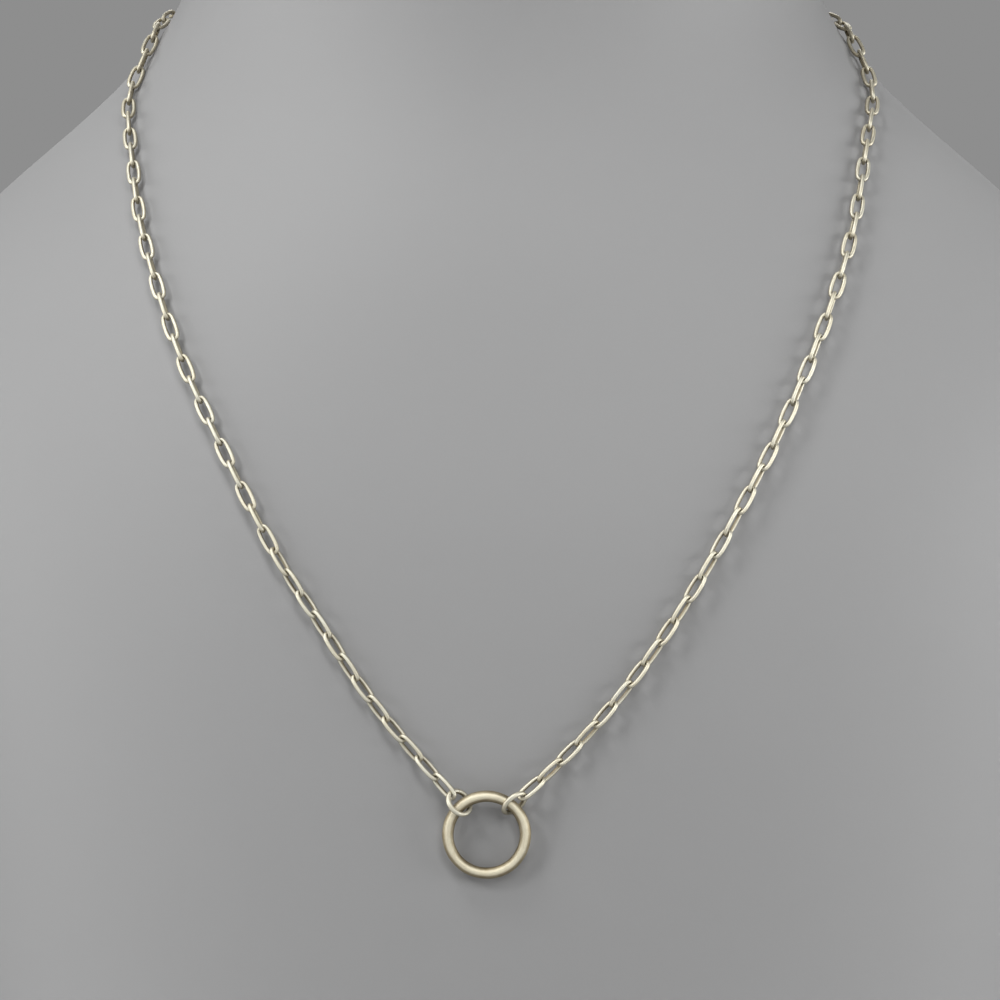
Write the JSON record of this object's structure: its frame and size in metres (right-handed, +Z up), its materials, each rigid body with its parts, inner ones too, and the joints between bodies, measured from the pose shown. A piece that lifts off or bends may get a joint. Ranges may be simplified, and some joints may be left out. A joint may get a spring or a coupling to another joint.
{
  "type": "circle pendant necklace on a neck bust",
  "caption": "Fine long-link chain necklace with a plain round ring pendant on two jump rings, clasped round a plain neck display bust.",
  "frame": {"origin": "centre of the whole piece's footprint, on the bust's flat base", "axes": "+Z up, the bust and the pendant face -Y, +X to the right as seen from the front"},
  "size_m": [0.2016, 0.1208, 0.228],
  "materials": {
    "bust": "smooth matte grey",
    "gold": "worn satin pale gold"
  },
  "bodies": {
    "root": {"neck_bust": "bust", "circle_pendant": "gold", "jump_ring_left": "gold", "jump_ring_right": "gold", "chain_left": "gold", "chain_right": "gold", "clasp": "gold"}
  },
  "joints": []
}
